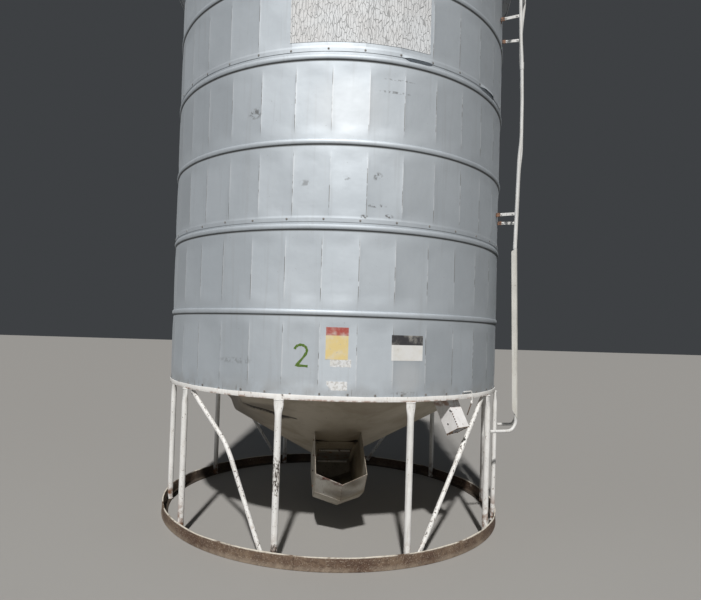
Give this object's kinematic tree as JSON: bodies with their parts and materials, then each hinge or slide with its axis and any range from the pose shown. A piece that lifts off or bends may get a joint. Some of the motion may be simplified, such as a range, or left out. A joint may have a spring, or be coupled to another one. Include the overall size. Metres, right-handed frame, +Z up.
{
  "type": "grain silo",
  "caption": "Farm grain silo: beaded sheet wall on pipe legs and a ground ring, with a hopper cone, a trough-shaped discharge boot with a slide gate, conical roof and side ladder.",
  "frame": {"origin": "silo axis at ground level, under the ground ring", "axes": "+Z up along the silo axis, -Y towards the discharge boot at the front, +X to the right with the ladder at the front right"},
  "size_m": [3.216, 3.1472, 5.69],
  "materials": {
    "galvanised_sheet": "weathered zinc",
    "white_paint": "chipped off-white paint",
    "cream_paint": "dusty cream paint",
    "rusty_steel": "brown rust and dirt"
  },
  "bodies": {
    "silo": {"bagging_spout": "white_paint", "base_ring": "rusty_steel", "boot_floor": "cream_paint", "boot_front": "cream_paint", "boot_side_left": "cream_paint", "boot_side_right": "cream_paint", "boot_throat": "cream_paint", "brace_front_left": "white_paint", "brace_front_right": "white_paint", "brace_rear_left": "white_paint", "brace_rear_right": "white_paint", "cone_front": "cream_paint", "cone_left": "cream_paint", "cone_right": "cream_paint", "filler_collar": "galvanised_sheet", "filler_lid": "galvanised_sheet", "ladder_guard": "white_paint", "ladder_lower": "white_paint", "ladder_middle": "white_paint", "ladder_post": "white_paint", "ladder_upper": "white_paint", "leg_01": "white_paint", "leg_02": "white_paint", "leg_03": "white_paint", "leg_04": "white_paint", "leg_05": "white_paint", "leg_06": "white_paint", "leg_07": "white_paint", "leg_08": "white_paint", "leg_09": "white_paint", "leg_10": "white_paint", "ring_beam": "white_paint", "roof_front": "galvanised_sheet", "roof_left": "galvanised_sheet", "roof_right": "galvanised_sheet", "spout_hook": "rusty_steel", "wall_lower_front": "galvanised_sheet", "wall_lower_left": "galvanised_sheet", "wall_lower_right": "galvanised_sheet", "wall_middle_front": "galvanised_sheet", "wall_middle_left": "galvanised_sheet", "wall_middle_right": "galvanised_sheet", "wall_upper_front": "galvanised_sheet", "wall_upper_left": "galvanised_sheet", "wall_upper_right": "galvanised_sheet"},
    "gate": {"slide_gate": "galvanised_sheet"}
  },
  "joints": [
    {"name": "gate_slide", "type": "slide", "parent": "silo", "child": "gate", "axis": [0, -0.8643, 0.503], "range_m": [0, 0.24]}
  ]
}
